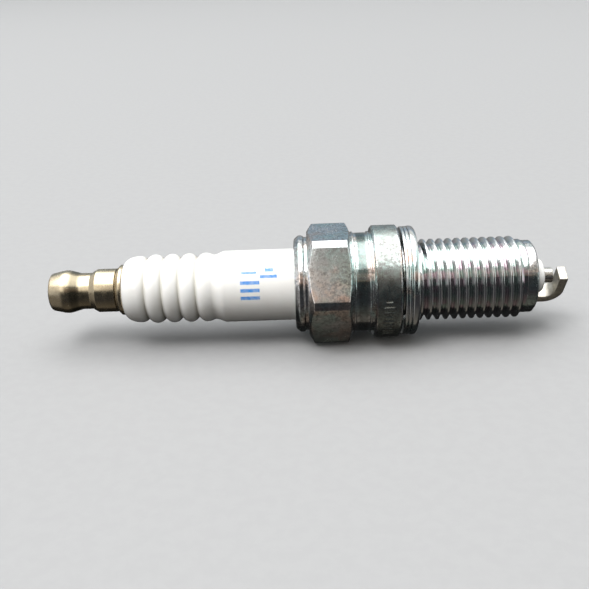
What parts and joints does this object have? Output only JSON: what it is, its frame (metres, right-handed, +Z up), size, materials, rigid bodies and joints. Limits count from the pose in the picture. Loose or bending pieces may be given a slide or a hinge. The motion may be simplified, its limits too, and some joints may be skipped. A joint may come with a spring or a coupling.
{
  "type": "spark plug",
  "caption": "Resistor spark plug with ribbed insulator, screw-on terminal nut, hexagon shell with crush gasket, fine thread and one bent ground electrode.",
  "frame": {"origin": "bottom centre of the whole plug's box, under the axis, on the surface that the plug lies on", "axes": "+X along the plug's axis toward the firing end, +Z up, out of the hexagon flat that faces up"},
  "size_m": [0.0752, 0.0176, 0.0163],
  "materials": {
    "terminal": "bronze-toned nickel plate, smooth",
    "stud": "bronze-toned nickel plate",
    "ceramic": "glossy white glaze",
    "seal_glass": "opaque copper-filled glass",
    "resistor": "matte carbon and glass mix",
    "nickel": "bare nickel alloy, satin",
    "copper": "bare copper",
    "plating": "bright plated steel, lightly scratched",
    "packing_steel": "soft steel",
    "talc": "pressed powder",
    "gasket_steel": "bright plated sheet steel"
  },
  "bodies": {
    "plug": {"terminal_stud": "stud", "insulator": "ceramic", "upper_glass_seal": "seal_glass", "resistor": "resistor", "lower_glass_seal": "seal_glass", "centre_electrode": "nickel", "electrode_copper_core": "copper", "metal_shell": "plating", "ground_electrode": "nickel", "upper_packing_ring": "packing_steel", "talc_filling": "talc", "lower_packing_ring": "packing_steel", "seat_packing": "packing_steel"},
    "nut": {"terminal_nut": "terminal"},
    "washer": {"gasket": "gasket_steel"}
  },
  "joints": [
    {"name": "nut_slide", "type": "slide", "parent": "plug", "child": "nut", "axis": [-1, 0, 0], "range_m": [0, 0.008]},
    {"name": "gasket_spin", "type": "hinge", "parent": "plug", "child": "washer", "pos_m": [0.0144, 0, 0.00815], "axis": [1, 0, 0], "continuous": true}
  ]
}
